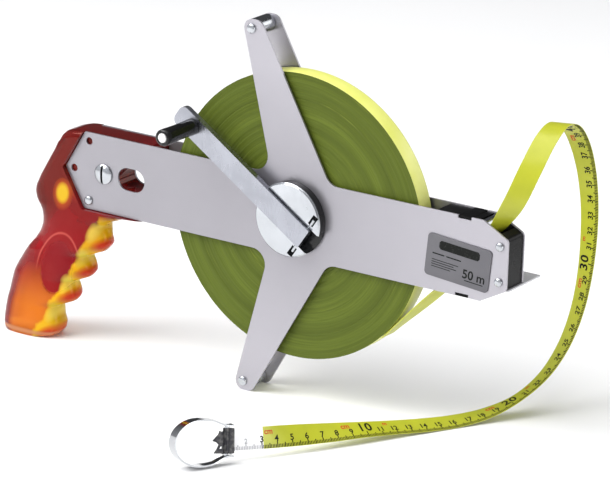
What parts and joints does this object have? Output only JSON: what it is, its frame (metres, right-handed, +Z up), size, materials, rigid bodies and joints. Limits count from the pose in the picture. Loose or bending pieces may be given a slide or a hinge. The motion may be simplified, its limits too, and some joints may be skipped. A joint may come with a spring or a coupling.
{
  "type": "open-reel tape measure",
  "caption": "Open-reel long tape measure: cross-shaped metal side plates, wound steel tape, pistol grip, folding winding crank, guide mouth, end claw and pull ring.",
  "frame": {"origin": "middle of the underside of the tool as it stands, measured without the free blade and its end fittings", "axes": "+X towards the mouth (nose), -X towards the grip, -Y towards the winding crank, +Z up; the reel turns about Y"},
  "size_m": [0.3723, 0.2488, 0.232],
  "materials": {
    "satin_plate": "satin",
    "bright_steel": "polished",
    "dark_steel": "blackened",
    "amber_plastic": "translucent gloss",
    "black_plastic": "satin",
    "white_plastic": "matte",
    "tape_yellow": "semi-gloss coating",
    "coil_green": "semi-gloss coating edges",
    "label_grey": "matte foil",
    "bearing_bronze": "oiled"
  },
  "bodies": {
    "frame": {"end_hook": "dark_steel", "front_bushing": "bearing_bronze", "front_plate": "satin_plate", "grip": "amber_plastic", "grip_nut": "bright_steel", "grip_rivet": "bright_steel", "grip_screw": "bright_steel", "label_plate": "label_grey", "lip_plate": "satin_plate", "lower_nose_rivet": "bright_steel", "lower_roller_pin": "bright_steel", "lower_tip_rivet": "bright_steel", "lower_tip_spacer": "bright_steel", "mouth_guide": "black_plastic", "rear_bushing": "bearing_bronze", "rear_plate": "satin_plate", "ring_pin": "bright_steel", "tape_free": "tape_yellow", "tape_lead": "tape_yellow", "upper_nose_rivet": "bright_steel", "upper_roller_pin": "bright_steel", "upper_tip_rivet": "bright_steel", "upper_tip_spacer": "bright_steel"},
    "reel": {"wound_tape": "coil_green", "spool_core": "black_plastic", "tape_anchor": "bright_steel", "spindle": "bright_steel", "rear_hub_cap": "black_plastic", "crank_disc": "bright_steel", "hinge_pin": "bright_steel"},
    "crank": {"crank_arm": "bright_steel", "knob_spindle": "bright_steel"},
    "knob": {"knob": "black_plastic", "knob_cap": "white_plastic"},
    "upper_roller": {"upper_roller": "bright_steel"},
    "lower_roller": {"lower_roller": "bright_steel"},
    "ring": {"pull_ring": "bright_steel"}
  },
  "joints": [
    {"name": "reel_spin", "type": "hinge", "parent": "frame", "child": "reel", "pos_m": [0.03485, 0.01075, 0.116], "axis": [0, -1, 0], "continuous": true},
    {"name": "crank_fold", "type": "hinge", "parent": "reel", "child": "crank", "pos_m": [0.04616, -0.00445, 0.10845], "axis": [0.5548, 0, 0.832], "range_deg": [0, 180]},
    {"name": "knob_spin", "type": "hinge", "parent": "crank", "child": "knob", "pos_m": [-0.03337, -0.02325, 0.1615], "axis": [0, -1, 0], "continuous": true},
    {"name": "upper_roller_spin", "type": "hinge", "parent": "frame", "child": "upper_roller", "pos_m": [0.16405, 0.01075, 0.1362], "axis": [0, -1, 0], "continuous": true},
    {"name": "lower_roller_spin", "type": "hinge", "parent": "frame", "child": "lower_roller", "pos_m": [0.14725, 0.01075, 0.0982], "axis": [0, -1, 0], "continuous": true},
    {"name": "ring_swing", "type": "hinge", "parent": "frame", "child": "ring", "pos_m": [0.06355, -0.10634, 0.0138], "axis": [-0.1203, 0.1405, 0.9827], "range_deg": [-90, 90]}
  ]
}
